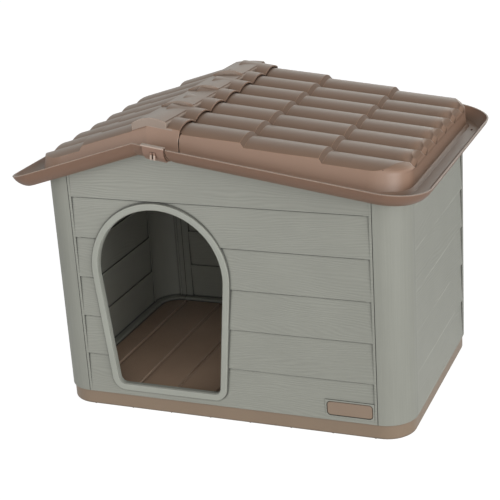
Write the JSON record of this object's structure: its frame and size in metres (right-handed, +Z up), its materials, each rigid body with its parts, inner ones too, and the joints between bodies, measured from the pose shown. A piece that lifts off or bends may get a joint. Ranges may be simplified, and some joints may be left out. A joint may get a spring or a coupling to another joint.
{
  "type": "dog house",
  "caption": "Moulded plastic dog house with plank walls, an arched doorway and a tiled roof whose larger slope lifts on a side hinge.",
  "frame": {"origin": "on the ground, below the middle of the roof's rim", "axes": "+X to the right seen from the doorway side, +Y from the doorway side to the back, +Z up"},
  "size_m": [0.73, 0.557, 0.54],
  "materials": {
    "walls": "sage grey plastic with an embossed wood grain",
    "frame": "smooth light sage plastic",
    "roof": "taupe brown plastic, softly sheened",
    "base": "taupe brown plastic",
    "plate": "taupe brown plastic, bare",
    "latches": "light taupe plastic",
    "brackets": "taupe brown plastic",
    "steel": "bright steel"
  },
  "bodies": {
    "house": {"base_tray": "base", "base_screws": "steel", "front_panel": "walls", "rear_panel": "walls", "left_side_panel": "walls", "right_side_panel": "walls", "door_frame": "frame", "name_plate": "plate", "roof_fixed": "roof", "front_hinge_bracket": "brackets", "rear_hinge_bracket": "brackets", "front_hinge_pin": "steel", "rear_hinge_pin": "steel", "hinge_screws": "steel"},
    "lid": {"roof_lid": "roof"},
    "front_latch": {"front_latch": "latches"},
    "rear_latch": {"rear_latch": "latches"}
  },
  "joints": [
    {"name": "lid_hinge", "type": "hinge", "parent": "house", "child": "lid", "pos_m": [-0.025, 0, 0.501], "axis": [0, -1, 0], "range_deg": [0, 95]},
    {"name": "front_latch_slide", "type": "slide", "parent": "house", "child": "front_latch", "axis": [0.989, 0, -0.1478], "range_m": [0, 0.021]},
    {"name": "rear_latch_slide", "type": "slide", "parent": "house", "child": "rear_latch", "axis": [0.989, 0, -0.1478], "range_m": [0, 0.021]}
  ]
}
